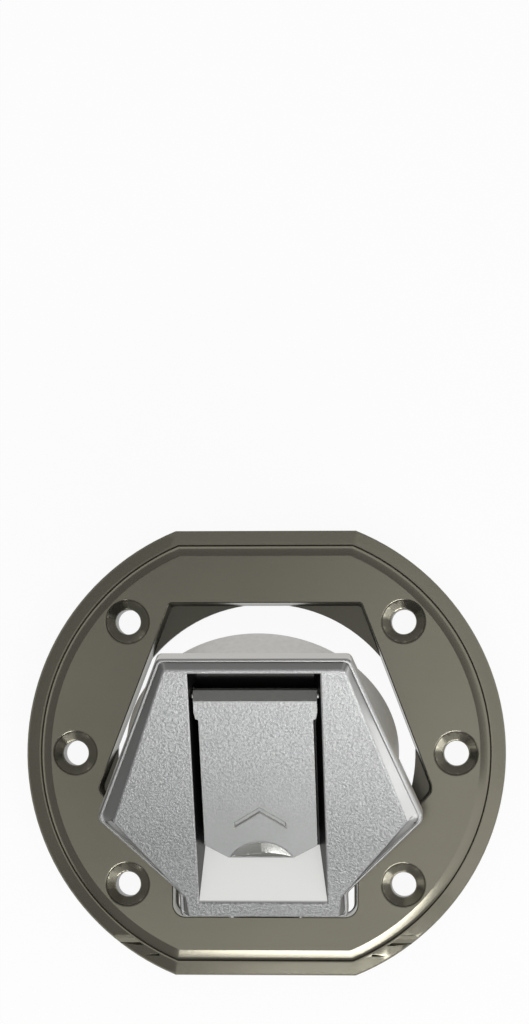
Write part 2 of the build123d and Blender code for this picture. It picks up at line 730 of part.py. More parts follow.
# The two screws of the latch housing, each with a cross recess.
with BuildPart() as housing_screw_right:
    with BuildSketch(lid_level(-14.6)):
        with Locations((SCREW_X, 0)):
            Circle(2.4)
    extrude(amount=1.6)
    chamfer(housing_screw_right.edges().group_by(Axis(lid_point(0, 0, 0), LID_UP))[0], 0.5)
    with BuildSketch(lid_level(-13.0)):
        with Locations((SCREW_X, 0)):
            Circle(SCREW_R)
    extrude(amount=11.6)
    with BuildSketch(lid_level(-14.6)):
        with Locations((SCREW_X, 0)):
            Rectangle(2.9, 0.7, rotation=25)
            Rectangle(0.7, 2.9, rotation=25)
    extrude(amount=1.0, mode=Mode.SUBTRACT)

with BuildPart() as housing_screw_left:
    with BuildSketch(lid_level(-14.6)):
        with Locations((-SCREW_X, 0)):
            Circle(2.4)
    extrude(amount=1.6)
    chamfer(housing_screw_left.edges().group_by(Axis(lid_point(0, 0, 0), LID_UP))[0], 0.5)
    with BuildSketch(lid_level(-13.0)):
        with Locations((-SCREW_X, 0)):
            Circle(SCREW_R)
    extrude(amount=11.6)
    with BuildSketch(lid_level(-14.6)):
        with Locations((-SCREW_X, 0)):
            Rectangle(2.9, 0.7, rotation=60)
            Rectangle(0.7, 2.9, rotation=60)
    extrude(amount=1.0, mode=Mode.SUBTRACT)

# Sliding bolt with a wedge under its tip and the window of the cam's peg.
with BuildPart() as latch_bolt:
    with BuildSketch(lid_side(-BOLT_X)):
        with BuildLine():
            Polyline(
                (-4.0, BOLT_TOP_Z),
                (-4.0, BOLT_LOW_Z),
                (15.4, BOLT_LOW_Z),
                (BOLT_TIP_Y, BOLT_TOP_Z - 0.9),
                (BOLT_TIP_Y, BOLT_TOP_Z),
                close=True,
            )
        make_face()
    extrude(amount=2 * BOLT_X)
    with BuildSketch(lid_level(BOLT_LOW_Z - 1)):
        with Locations((2.1, 4.65)):
            Rectangle(3.7, 6.3)
    extrude(amount=6, mode=Mode.SUBTRACT)

# The two springs behind the bolt.
with BuildPart() as latch_spring_right:
    with BuildLine():
        coil = Helix(
            pitch=1.5, height=7.0, radius=0.85, center=lid_point(2.4, -11.3, -12.1), direction=tuple(LID_OUT)
        )
    with BuildSketch(Plane(origin=coil @ 0, z_dir=coil % 0)):
        Rectangle(0.4, 0.4)
    sweep(path=coil.edges()[0], is_frenet=True)

with BuildPart() as latch_spring_left:
    with BuildLine():
        coil = Helix(
            pitch=1.5, height=7.0, radius=0.85, center=lid_point(-2.4, -11.3, -12.1), direction=tuple(LID_OUT)
        )
    with BuildSketch(Plane(origin=coil @ 0, z_dir=coil % 0)):
        Rectangle(0.4, 0.4)
    sweep(path=coil.edges()[0], is_frenet=True)

# Floating plate that carries the seal.
with BuildPart() as seal_carrier:
    with BuildSketch(lid_half_section()):
        with BuildLine():
            Polyline(
                (HUB_R + 0.08, SEAL_Z),
                (SEAL_R, SEAL_Z),
                (SEAL_R, SEAL_Z + 1.35),
                (SEAL_CLAMP_R + 1.0, SEAL_Z + 1.35),
                (SEAL_CLAMP_R, SEAL_Z + 2.05),
                (HUB_R + 0.08, SEAL_Z + 2.05),
                close=True,
            )
        make_face()
    revolve(axis=LID_AXIS)

# Rubber seal with two raised steps.
with BuildPart() as seal_gasket:
    with BuildSketch(lid_half_section()):
        with BuildLine():
            Polyline(
                (SEAL_CLAMP_R, SEAL_Z),
                (SEAL_CLAMP_R, SEAL_Z - 1.05),
                (SEAL_CLAMP_R + 1.8, SEAL_Z - 1.05),
                (SEAL_CLAMP_R + 2.3, SEAL_Z - 1.45),
                (SEAL_R - 1.5, SEAL_Z - 1.45),
                (SEAL_R - 1.0, SEAL_Z - 0.85),
                (SEAL_R, SEAL_Z - 0.85),
                (SEAL_R, SEAL_Z),
                close=True,
            )
        make_face()
    revolve(axis=LID_AXIS)

# Ring that clamps the inner edge of the seal, with its vent slot.
with BuildPart() as seal_retainer:
    with BuildSketch(lid_level(SEAL_Z - 1.35)):
        Circle(SEAL_CLAMP_R)
        Circle(HOUSING_R + 0.4, mode=Mode.SUBTRACT)
        with Locations((0, -18.2)):
            SlotOverall(6.6, 1.0, mode=Mode.SUBTRACT)
    extrude(amount=1.35)

# Wave spring that presses the seal outwards.
with BuildPart() as seal_spring:
    with BuildLine():
        coil = Helix(
            pitch=1.6,
            height=4.0,
            radius=(HUB_R + SEAL_CLAMP_R) / 2,
            center=lid_point(0, 0, SEAL_Z + 2.6),
            direction=tuple(LID_UP),
        )
    with BuildSketch(Plane(origin=coil @ 0, z_dir=coil % 0)):
        Rectangle(0.9, 0.9)
    sweep(path=coil.edges()[0], is_frenet=True)

mounting_ring.part.label = "mounting_ring"
export_step(mounting_ring.part, "parts/mounting_ring.step")
lid_hinge_pin.part.label = "lid_hinge_pin"
export_step(lid_hinge_pin.part, "parts/lid_hinge_pin.step")
lid_cover.part.label = "lid_cover"
export_step(lid_cover.part, "parts/lid_cover.step")
lid_base.part.label = "lid_base"
export_step(lid_base.part, "parts/lid_base.step")
cover_screws.part.label = "cover_screws"
export_step(cover_screws.part, "parts/cover_screws.step")
key_flap.part.label = "key_flap"
export_step(key_flap.part, "parts/key_flap.step")
flap_hinge_pin.part.label = "flap_hinge_pin"
export_step(flap_hinge_pin.part, "parts/flap_hinge_pin.step")
flap_spring.part.label = "flap_spring"
export_step(flap_spring.part, "parts/flap_spring.step")
lock_housing.part.label = "lock_housing"
export_step(lock_housing.part, "parts/lock_housing.step")
lock_seal.part.label = "lock_seal"
export_step(lock_seal.part, "parts/lock_seal.step")
key_plug.part.label = "key_plug"
export_step(key_plug.part, "parts/key_plug.step")
lock_wafers.part.label = "lock_wafers"
export_step(lock_wafers.part, "parts/lock_wafers.step")
lock_cam.part.label = "lock_cam"
export_step(lock_cam.part, "parts/lock_cam.step")
cam_clip.part.label = "cam_clip"
export_step(cam_clip.part, "parts/cam_clip.step")
latch_housing.part.label = "latch_housing"
export_step(latch_housing.part, "parts/latch_housing.step")
housing_screw_right.part.label = "housing_screw_right"
export_step(housing_screw_right.part, "parts/housing_screw_right.step")
housing_screw_left.part.label = "housing_screw_left"
export_step(housing_screw_left.part, "parts/housing_screw_left.step")
latch_bolt.part.label = "latch_bolt"
export_step(latch_bolt.part, "parts/latch_bolt.step")
latch_spring_right.part.label = "latch_spring_right"
export_step(latch_spring_right.part, "parts/latch_spring_right.step")
latch_spring_left.part.label = "latch_spring_left"
export_step(latch_spring_left.part, "parts/latch_spring_left.step")
seal_carrier.part.label = "seal_carrier"
export_step(seal_carrier.part, "parts/seal_carrier.step")
seal_gasket.part.label = "seal_gasket"
export_step(seal_gasket.part, "parts/seal_gasket.step")
seal_retainer.part.label = "seal_retainer"
export_step(seal_retainer.part, "parts/seal_retainer.step")
seal_spring.part.label = "seal_spring"
export_step(seal_spring.part, "parts/seal_spring.step")
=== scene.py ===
# %% [markdown]
# The fuel cap arrives as the imported CAD model: one mesh for each part, in metres, the ring flat and the
# lid ajar. The scene keeps those places and sizes and gives the parts the edges, grain and light of the
# real ones.

import json
import math

import bmesh
import bpy
import numpy as np
from mathutils import Matrix, Vector

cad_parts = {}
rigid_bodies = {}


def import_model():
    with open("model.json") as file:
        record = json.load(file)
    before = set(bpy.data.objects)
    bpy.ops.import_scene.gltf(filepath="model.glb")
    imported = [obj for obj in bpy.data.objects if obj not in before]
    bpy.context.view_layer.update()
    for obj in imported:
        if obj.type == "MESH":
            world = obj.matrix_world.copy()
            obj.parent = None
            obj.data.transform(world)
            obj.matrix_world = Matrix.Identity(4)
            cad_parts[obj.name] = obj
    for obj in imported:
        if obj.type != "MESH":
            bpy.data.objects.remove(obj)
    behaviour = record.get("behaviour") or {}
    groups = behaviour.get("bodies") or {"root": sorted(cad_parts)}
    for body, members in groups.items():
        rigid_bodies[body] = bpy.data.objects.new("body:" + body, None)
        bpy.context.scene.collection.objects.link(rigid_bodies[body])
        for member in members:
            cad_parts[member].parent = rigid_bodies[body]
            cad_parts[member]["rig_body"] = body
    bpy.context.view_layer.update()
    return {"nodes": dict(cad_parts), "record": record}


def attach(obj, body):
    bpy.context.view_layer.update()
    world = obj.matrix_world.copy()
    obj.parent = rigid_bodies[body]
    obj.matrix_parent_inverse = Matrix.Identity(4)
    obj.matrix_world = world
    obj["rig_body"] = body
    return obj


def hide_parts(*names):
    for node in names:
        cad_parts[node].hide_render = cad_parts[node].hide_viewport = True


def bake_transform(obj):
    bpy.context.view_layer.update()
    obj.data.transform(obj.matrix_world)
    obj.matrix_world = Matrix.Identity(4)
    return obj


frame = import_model()
nodes = frame["nodes"]

# %% [markdown]
# The lid lies tilted about its hinge. Patterns and new pieces are easiest to think of on the closed
# lid, so these few values turn a place on the closed lid into its place here. They repeat the sizes
# of the source of the parts.

# %% Where the tilted lid lies
MM = 0.001
REST = math.radians(32.0)
PIVOT = np.array((0.0, -42.0, 4.8))
LID_OUT = np.array((0.0, math.cos(REST), math.sin(REST)))
LID_UP = np.array((0.0, -math.sin(REST), math.cos(REST)))
LID_TOP = 7.9


def lid_place(points):
    """Closed-lid points in mm to rest places in m: the hinge plus y along the lid and z above it."""
    p = np.asarray(points, float)
    x = np.zeros_like(p)
    x[..., 0] = p[..., 0]
    y = (p[..., 1] - PIVOT[1])[..., None] * LID_OUT
    z = (p[..., 2] - PIVOT[2])[..., None] * LID_UP
    return (x + (0, PIVOT[1], PIVOT[2]) + y + z) * MM


LID_MIDDLE = lid_place((0, 0, 0))
print("lid centre at rest:", np.round(lid_place((0, 0, LID_TOP)), 4).tolist())

# %% [markdown]
# Cast and moulded parts have no knife edges: each edge has a small radius that catches the light.
# A model made anew with such edges would only come near the measured shape. So the CAD mesh itself is
# copied, its doubles are merged, its flat faces are joined again, and a fine bevel will run over the
# sharp edges. The edges round the top face are marked, because there the radius is larger.

# %% Merged copies of the CAD meshes
MERGE_GAP = 1e-6
SAME_PLANE = math.radians(0.05)
FACE_REACH = 0.02
FACE_TURN = math.radians(7)


def lid_heights(points):
    """Closed-lid heights in mm of places in metres."""
    return (points @ LID_UP - LID_MIDDLE @ LID_UP) / MM


def mark_face_edges(bm, face_height):
    """Weight 1 on the edges whose ends lie at closed-lid height face_height and whose faces turn."""
    places = np.array([v.co[:] for v in bm.verts])
    level = np.abs(lid_heights(places) - face_height) < FACE_REACH
    weight = bm.edges.layers.float.new("bevel_weight_edge")
    for edge in bm.edges:
        on_face = level[edge.verts[0].index] and level[edge.verts[1].index]
        if on_face and len(edge.link_faces) == 2 and edge.calc_face_angle() > FACE_TURN:
            edge[weight] = 1.0


def merged_copy(node, face_height=None):
    """The mesh of a CAD part with doubles merged and flat faces joined, free of materials."""
    mesh = nodes[node].data.copy()
    mesh.name = node + "_soft"
    bm = bmesh.new()
    bm.from_mesh(mesh)
    bmesh.ops.remove_doubles(bm, verts=bm.verts, dist=MERGE_GAP)
    bmesh.ops.dissolve_limit(bm, angle_limit=SAME_PLANE, verts=bm.verts, edges=bm.edges)
    if face_height is not None:
        mark_face_edges(bm, face_height)
    bm.to_mesh(mesh)
    bm.free()
    mesh.materials.clear()
    return mesh


print("merged within:", MERGE_GAP, "m")

# %% [markdown]
# The bevel stays a live modifier, so its width is one number for each part: 0.08 mm on a small screw,
# 0.34 mm round the face of the lid. Clamping keeps bevels from crossing, but one short edge would
# then make the whole face's radius tiny, so it is off on the lid's cover. The flap's nick needs it.

# %% Soft-edged copies that stand for the parts
SHARP = 18.0
EDGE_STEPS = 2
FACE_STEPS = 4
FLAP_DROP = 0.5
EDGE_WIDTHS = {
    "mounting_ring": 0.12,
    "lid_base": 0.18,
    "latch_housing": 0.2,
    "latch_bolt": 0.12,
    "seal_retainer": 0.1,
    "housing_screw_left": 0.08,
    "housing_screw_right": 0.08,
    "lock_housing": 0.1,
    "key_plug": 0.08,
}


def bevelled(piece, label, width, segments, angle=None, clamp=True):
    """A live bevel of width mm on the edges sharper than angle, or on those that carry a weight."""
    edge = piece.modifiers.new(label, "BEVEL")
    edge.width = width * MM
    edge.segments = segments
    edge.limit_method = "ANGLE" if angle else "WEIGHT"
    if angle:
        edge.angle_limit = math.radians(angle)
    edge.harden_normals = True
    edge.use_clamp_overlap = clamp


def softened(node, width, face_height=None, face_width=0.0, clamp=True):
    """A merged copy of a CAD part with its sharp edges rounded by width mm; it stands for the part.
    Edges of the face at closed-lid height face_height get the larger rounding face_width, in full
    where clamp is off."""
    source = nodes[node]
    mesh = merged_copy(node, face_height)
    piece = bpy.data.objects.new(node + "_soft", mesh)
    bpy.context.scene.collection.objects.link(piece)
    mesh.shade_smooth()
    if face_height is not None:
        bevelled(piece, "face edge", face_width, FACE_STEPS, clamp=clamp)
    bevelled(piece, "edge radius", width, EDGE_STEPS, SHARP)
    smooth = piece.modifiers.new("weighted", "WEIGHTED_NORMAL")
    smooth.keep_sharp = True
    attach(piece, source["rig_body"])
    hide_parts(node)
    return piece


soft = {name: softened(name, width) for name, width in EDGE_WIDTHS.items()}
soft["lid_cover"] = softened("lid_cover", 0.12, LID_TOP, face_width=0.34, clamp=False)
soft["key_flap"] = softened("key_flap", 0.10, LID_TOP - FLAP_DROP, face_width=0.26)
print("softened:", len(soft))

# %% [markdown]
# Three coil springs stand between the lid and a part that slides in it: one behind the seal's plate and two
# behind the bolt. One end of a real spring stays, the other goes with the sliding part and the coils in
# between close up. Here a copy of each CAD coil stands for its spring, in the CAD part's place.

# %% Copies of the springs
SEAL_SPRING_Z = (-0.1, -4.6)
LATCH_SPRING_X = 2.4
LATCH_SPRING_Y = (-11.2, -4.4)
LATCH_SPRING_Z = -12.1


def sprung(node, far_body, start, end):
    """A copy of a CAD spring in the CAD part's place; it stands for the spring. start and end are given in
    mm on the closed lid. far_body is not used."""
    mesh = nodes[node].data.copy()
    mesh.name = node + "_coil"
    mesh.materials.clear()
    piece = bpy.data.objects.new(node + "_coil", mesh)
    bpy.context.scene.collection.objects.link(piece)
    mesh.shade_smooth()
    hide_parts(node)
    tuple(lid_place(start))
    tuple(lid_place(end))
    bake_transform(piece)
    return piece


springs = {"seal_spring": sprung("seal_spring", "seal", *[(0, 0, z) for z in SEAL_SPRING_Z])}
for name, x in (("latch_spring_left", -LATCH_SPRING_X), ("latch_spring_right", LATCH_SPRING_X)):
    springs[name] = sprung(name, "latch", *[(x, y, LATCH_SPRING_Z) for y in LATCH_SPRING_Y])
soft.update(springs)
print("springs:", len(springs))

# %% [markdown]
# Every finish here is a shader with a grain worked out from the place on the object, so it needs no
# image and stays put in every view. A node tree is wordy in Python, so a few small helpers build it:
# first the material itself, then sums and products of sockets.

# %% A new finish, sums and products
def new_material(name):
    """A new material that uses nodes, and its principled shader."""
    material = bpy.data.materials.new(name)
    material.use_nodes = True
    return material, material.node_tree.nodes["Principled BSDF"]


def tree_of(name):
    """A new material with its node tree, principled shader and object coordinates."""
    material, shader = new_material(name)
    tree = material.node_tree
    place = tree.nodes.new("ShaderNodeTexCoord").outputs["Object"]
    return material, tree, shader, place


def math_node(tree, operation, a, b=None):
    """One Math node; a and b are sockets or numbers."""
    node = tree.nodes.new("ShaderNodeMath")
    node.operation = operation
    for socket, value in zip(node.inputs, (a, b)):
        if value is None:
            continue
        if isinstance(value, (int, float)):
            socket.default_value = value
        else:
            tree.links.new(value, socket)
    return node.outputs[0]


def times(tree, first, *others):
    """Product of sockets or numbers. Of masks it is the place where all of them hold."""
    for other in others:
        first = math_node(tree, "MULTIPLY", first, other)
    return first


def plus(tree, a, b):
    """Sum of two sockets or numbers."""
    return math_node(tree, "ADD", a, b)


def size_of(tree, value):
    """The value without its sign."""
    return math_node(tree, "ABSOLUTE", value)


def outside(tree, mask):
    """The mask turned round: 1 where it is 0."""
    return math_node(tree, "SUBTRACT", 1.0, mask)


print("sums and products are ready")

# %% [markdown]
# A casting's grain is noise in three dimensions, and a brushed or drawn one is the same noise stretched
# along an axis. Bump lets a grain catch the light without any new faces.

# %% Grain, colour and bump
def noise(tree, place, scale, detail=2.0, rough=0.5):
    """Noise of so many waves to the metre, 0 to 1."""
    node = tree.nodes.new("ShaderNodeTexNoise")
    node.inputs["Scale"].default_value = scale
    node.inputs["Detail"].default_value = detail
    node.inputs["Roughness"].default_value = rough
    tree.links.new(place, node.inputs["Vector"])
    return node.outputs["Fac"]


def stretched(tree, place, scale):
    """The place with each axis multiplied, for a grain that runs one way."""
    node = tree.nodes.new("ShaderNodeVectorMath")
    node.operation = "MULTIPLY"
    tree.links.new(place, node.inputs[0])
    node.inputs[1].default_value = scale
    return node.outputs[0]


def blended(tree, a, b, share_a):
    """Sum of two grains, a with its share and b with the rest."""
    return plus(tree, times(tree, a, share_a), times(tree, b, 1.0 - share_a))


def mixed(tree, share, a, b):
    """Colour a where share is 0, colour b where it is 1."""
    node = tree.nodes.new("ShaderNodeMix")
    node.data_type = "RGBA"
    tree.links.new(share, node.inputs["Factor"])
    for socket, value in ((node.inputs[6], a), (node.inputs[7], b)):
        if isinstance(value, tuple):
            socket.default_value = (*value, 1.0)
        else:
            tree.links.new(value, socket)
    return node.outputs[2]


def bump(tree, height, strength, depth_mm):
    """Bump from a height of 0 to 1 that stands depth_mm high."""
    node = tree.nodes.new("ShaderNodeBump")
    node.inputs["Strength"].default_value = strength
    node.inputs["Distance"].default_value = depth_mm * MM
    tree.links.new(height, node.inputs["Height"])
    return node.outputs["Normal"]


print("grain, colour and bump are ready")

# %% [markdown]
# One casting has several finishes: a face, a wall, a painted floor. They could be separate slots with
# faces picked by hand. Masks are used instead, each 1 on one side of a limit and 0 on the other. A limit
# is a height or a length in millimetres, or how far a face looks some way, and stays true on a new mesh.

# %% Masks from places and directions
def ramp(tree, value, low, high, at_low=0.0, at_high=1.0):
    """Straight change from at_low to at_high while value goes from low to high."""
    node = tree.nodes.new("ShaderNodeMapRange")
    node.inputs["From Min"].default_value = low
    node.inputs["From Max"].default_value = high
    node.inputs["To Min"].default_value = at_low
    node.inputs["To Max"].default_value = at_high
    tree.links.new(value, node.inputs["Value"])
    return node.outputs["Result"]


def above(tree, value, limit, blur):
    """1 where value is over the limit and 0 under it, changing within blur of it."""
    return ramp(tree, value, limit - blur, limit + blur)


def below(tree, value, limit, blur):
    """1 where value is under the limit and 0 over it, changing within blur of it."""
    return ramp(tree, value, limit + blur, limit - blur)


def along(tree, place, direction, origin=(0.0, 0.0, 0.0)):
    """Distance in mm of the place from origin along direction."""
    apart = tree.nodes.new("ShaderNodeVectorMath")
    apart.operation = "SUBTRACT"
    tree.links.new(place, apart.inputs[0])
    apart.inputs[1].default_value = tuple(origin)
    dot = tree.nodes.new("ShaderNodeVectorMath")
    dot.operation = "DOT_PRODUCT"
    tree.links.new(apart.outputs[0], dot.inputs[0])
    dot.inputs[1].default_value = tuple(direction)
    return times(tree, dot.outputs["Value"], 1.0 / MM)


def facing(tree, direction):
    """How far the face itself looks along direction, -1 to 1. The normal is turned into the piece's own
    coordinates, so the finish stays put when the piece swings."""
    geometry = tree.nodes.new("ShaderNodeNewGeometry")
    turned = tree.nodes.new("ShaderNodeVectorTransform")
    turned.vector_type = "NORMAL"
    turned.convert_from = "WORLD"
    turned.convert_to = "OBJECT"
    tree.links.new(geometry.outputs["True Normal"], turned.inputs[0])
    dot = tree.nodes.new("ShaderNodeVectorMath")
    dot.operation = "DOT_PRODUCT"
    tree.links.new(turned.outputs[0], dot.inputs[0])
    dot.inputs[1].default_value = tuple(direction)
    return dot.outputs["Value"]


def lid_height(tree, place):
    """Height in mm of the place on the closed lid."""
    return along(tree, place, LID_UP, LID_MIDDLE)


def lid_length(tree, place):
    """Place in mm from the middle of the lid towards its far edge."""
    return along(tree, place, LID_OUT, LID_MIDDLE)


finishes = {}
print("masks are ready")

# %% [markdown]
# The ring is a die casting under a satin warm grey lacquer. Its outer face is nearly smooth, with a faint
# brushing, and painted darker as shade where it is sunk. The outer wall and the underside keep the coarse
# sand of the mould, lighter and rougher, and the floors of the pockets are painted dark and bluish as
# shade.

# %% Ring lacquer
RING_FACE = ((0.190, 0.180, 0.140), (0.245, 0.233, 0.184))
RING_SUNK_SHADE = (0.105, 0.100, 0.080)
RING_UNDER = ((0.23, 0.23, 0.215), (0.40, 0.40, 0.38))
POCKET_SHADE = (0.105, 0.115, 0.115)
SAND_GRAIN = 2600.0
CLOUDING = 38.0
BRUSHING = (60.0, 1400.0, 60.0)
SUNK_Z = 6.0
POCKET_Z = 3.6
RIM_R = 46.5
FINE_SHARE = 0.3


def ring_radius(tree, place):
    """Distance in mm of the place from the middle line of the ring."""
    node = tree.nodes.new("ShaderNodeVectorMath")
    node.operation = "LENGTH"
    tree.links.new(stretched(tree, place, (1.0, 1.0, 0.0)), node.inputs[0])
    return times(tree, node.outputs["Value"], 1.0 / MM)


def ring_lacquer():
    """Satin grey above, painted darker as shade where sunk; below and on the wall a lighter colour with a
    grain of 0.4 mm, finer inside the outer rim, and painted shade, dark and bluish, on the floors of the
    pockets."""
    material, tree, shader, place = tree_of("ring_lacquer")
    under = below(tree, facing(tree, (0, 0, 1)), 0.0, 0.2)
    high = along(tree, place, (0, 0, 1))
    coarse = ramp(tree, ring_radius(tree, place), RIM_R - 0.3, RIM_R + 0.3, FINE_SHARE, 1.0)
    grain = noise(tree, place, SAND_GRAIN, 3.0, 0.6)
    cloud = noise(tree, place, CLOUDING, 2.0)
    brushed = noise(tree, stretched(tree, place, BRUSHING), 1.0, 2.0, 0.6)
    face = mixed(tree, blended(tree, cloud, brushed, 0.7), *RING_FACE)
    # Painted shade: the part of the face sunk below SUNK_Z gets a darker colour.
    face = mixed(tree, below(tree, high, SUNK_Z, 0.2), face, RING_SUNK_SHADE)
    low = mixed(tree, times(tree, grain, coarse), *RING_UNDER)
    # Painted shade: the pocket floors underneath get a dark bluish colour.
    low = mixed(tree, above(tree, high, POCKET_Z, 0.2), low, POCKET_SHADE)
    tree.links.new(mixed(tree, under, face, low), shader.inputs["Base Color"])
    shader.inputs["Metallic"].default_value = 0.8
    rough = plus(tree, ramp(tree, under, 0, 1, 0.16, 0.5), times(tree, cloud, 0.05))
    tree.links.new(rough, shader.inputs["Roughness"])
    height = times(tree, grain, times(tree, ramp(tree, under, 0, 1, 0.05, 1.0), coarse))
    tree.links.new(bump(tree, height, 0.6, 0.10), shader.inputs["Normal"])
    return material


finishes["ring_metal"] = ring_lacquer()
print("ring lacquer:", len(finishes["ring_metal"].node_tree.nodes), "nodes")

# %% [markdown]
# The lid wears a silver lacquer over a pebbled casting: the eye sees light and dark specks about half a
# millimetre wide, and the face is painted lighter towards its far edge, as light falls there. The bevels
# round the face and the ramp of the bay are smooth, and the ramp is painted near white as a highlight. The
# outer wall is bare, the floor and walls of the bay are painted black as shade, and the rim underneath is
# dark grey. Where a spot lies on the closed lid decides which finish it has.

# %% Silver lacquer of the lid
SILVER = ((0.180, 0.183, 0.183), (0.455, 0.460, 0.455))
SMOOTH_SILVER = ((0.27, 0.27, 0.265), (0.31, 0.31, 0.305))
BARE_WALL = (0.56, 0.55, 0.53)
DARK_RIM = (0.12, 0.12, 0.115)
RAMP_HIGHLIGHT = (0.88, 0.88, 0.86)
BAY_SHADE_BLACK = (0.016, 0.016, 0.015)
FACE_DEPTH = 0.175
BAY_DEPTH = 0.275
DEPTH_BLUR = 0.075
BAY_X = 14.5
BAY_Y = 30.25
RAMP_Y = -17.15
PAINTED_LIGHT_Y = (-14.0, 26.0)
SMOOTH_GRAIN = 120.0
SPECK_SHARE = 0.47
PEBBLE_BUMP = 0.45
PEBBLE_DEPTH = 0.08


def pebbles(tree, place):
    """Specks of about 0.45 mm: two noises added, spread to 0 to 1."""
    coarse = noise(tree, place, 1900.0, 1.5, 0.5)
    fine = noise(tree, place, 4200.0, 1.0, 0.5)
    return ramp(tree, blended(tree, coarse, fine, 0.65), 0.33, 0.67)


def pebbled(tree, specks, length):
    """Speckled silver with painted light: lighter towards the lid's far edge as in the photograph."""
    # Painted light: the silver grows lighter along the lid towards its far edge.
    lighter = ramp(tree, length, *PAINTED_LIGHT_Y, 0.0, 1.0 - SPECK_SHARE)
    return mixed(tree, plus(tree, times(tree, specks, SPECK_SHARE), lighter), *SILVER)


def bay_mask(tree, place, high, length):
    """1 in the bay: inside its two sides and its two ends, and below the face."""
    side = below(tree, size_of(tree, along(tree, place, (1, 0, 0))), BAY_X, 0.1)
    ends = below(tree, size_of(tree, length), BAY_Y, 0.15)
    return times(tree, side, ends, below(tree, high, LID_TOP - BAY_DEPTH, DEPTH_BLUR))


def lid_silver():
    """Pebbled on the face, which is painted lighter towards its far edge; smooth on the bevels and the
    ramp, with a near-white painted highlight on the ramp; painted shade, black, in the bay; bare on the
    outer wall and dark grey underneath."""
    material, tree, shader, place = tree_of("lid_silver")
    high = lid_height(tree, place)
    length = lid_length(tree, place)
    up = facing(tree, LID_UP)
    on_face = above(tree, high, LID_TOP - FACE_DEPTH, DEPTH_BLUR)
    bay = bay_mask(tree, place, high, length)
    on_ramp = times(tree, above(tree, up, 0.83, 0.03), below(tree, length, RAMP_Y, 0.15))
    specks = pebbles(tree, place)
    smooth = mixed(tree, noise(tree, place, SMOOTH_GRAIN), *SMOOTH_SILVER)
    colour = mixed(tree, on_face, smooth, pebbled(tree, specks, length))
    wall = times(tree, below(tree, up, 0.15, 0.05), outside(tree, bay))
    colour = mixed(tree, wall, colour, BARE_WALL)
    colour = mixed(tree, below(tree, up, -0.3, 0.1), colour, DARK_RIM)
    # Painted highlight: the ramp of the bay is near white.
    colour = mixed(tree, times(tree, bay, on_ramp), colour, RAMP_HIGHLIGHT)
    # Painted shade: the floor and walls of the bay are black.
    colour = mixed(tree, times(tree, bay, outside(tree, on_ramp)), colour, BAY_SHADE_BLACK)
    tree.links.new(colour, shader.inputs["Base Color"])
    shader.inputs["Metallic"].default_value = 0.75
    tree.links.new(ramp(tree, on_face, 0, 1, 0.32, 0.37), shader.inputs["Roughness"])
    relief = bump(tree, times(tree, specks, on_face), PEBBLE_BUMP, PEBBLE_DEPTH)
    tree.links.new(relief, shader.inputs["Normal"])
    return material


finishes["lid_silver"] = lid_silver()
print("lid silver:", len(finishes["lid_silver"].node_tree.nodes), "nodes")

# %% [markdown]
# The flap has the same lacquer, pebbled near its roll and smoother towards the nail nick. The nick is a
# shallow ball cut in the mesh. A bump whose height grows with the distance from the middle line gives
# it the two slopes of a deeper hollow: that part of its look is shading, and not shape.

# %% Silver lacquer of the flap
FLAT_SILVER = ((0.225, 0.23, 0.225), (0.265, 0.27, 0.265))
POLISH_HIGHLIGHT = (0.42, 0.42, 0.40)
FADE_Y = (-10.0, 8.0)
ROLL_Y = 22.55
NICK_Y = -12.4
NICK_DEPTH = 0.04
NICK_SLOPE = 0.30


def flap_silver():
    """Silver that fades from pebbled to flat; on turned-down edges and in the nail nick it is smoother,
    with a lighter colour that is a painted highlight.
    """
    material, tree, shader, place = tree_of("flap_silver")
    length = lid_length(tree, place)
    up = facing(tree, LID_UP)
    fade = times(tree, ramp(tree, length, *FADE_Y, 0.12, 1.0), below(tree, length, ROLL_Y, 0.15))
    specks = pebbles(tree, place)
    flat = mixed(tree, noise(tree, place, SMOOTH_GRAIN), *FLAT_SILVER)
    colour = mixed(tree, fade, flat, pebbled(tree, specks, length))
    sunk = below(tree, lid_height(tree, place), LID_TOP - FLAP_DROP - NICK_DEPTH, 0.02)
    nick = times(tree, below(tree, length, NICK_Y, 0.2), above(tree, up, 0.85, 0.05), sunk)
    polish_and_highlight = math_node(tree, "MAXIMUM", below(tree, up, 0.98, 0.01), nick)
    # Painted highlight: turned-down edges and the nail nick get a lighter colour; their lower roughness is
    # polish.
    tree.links.new(mixed(tree, polish_and_highlight, colour, POLISH_HIGHLIGHT), shader.inputs["Base Color"])
    shader.inputs["Metallic"].default_value = 0.75
    tree.links.new(ramp(tree, polish_and_highlight, 0, 1, 0.37, 0.20), shader.inputs["Roughness"])
    aside = size_of(tree, along(tree, place, (1, 0, 0)))
    hollow = times(tree, aside, nick, NICK_SLOPE / PEBBLE_DEPTH / PEBBLE_BUMP)
    relief = plus(tree, times(tree, specks, fade), hollow)
    tree.links.new(bump(tree, relief, PEBBLE_BUMP, PEBBLE_DEPTH), shader.inputs["Normal"])
    return material


finishes["flap_silver"] = flap_silver()
print("flap silver:", len(finishes["flap_silver"].node_tree.nodes), "nodes")

# %% [markdown]
# The lid's base is a bare light casting whose deck is black underneath. The deck is told from the cup
# and the hinge arm by its direction, its height and its length along the lid.

# %% Casting of the lid's base
CASTING = ((0.47, 0.46, 0.44), (0.61, 0.60, 0.58))
DECK_BLACK = (0.012, 0.012, 0.012)
DECK_END_Y = -35.75
DECK_Z = -0.45


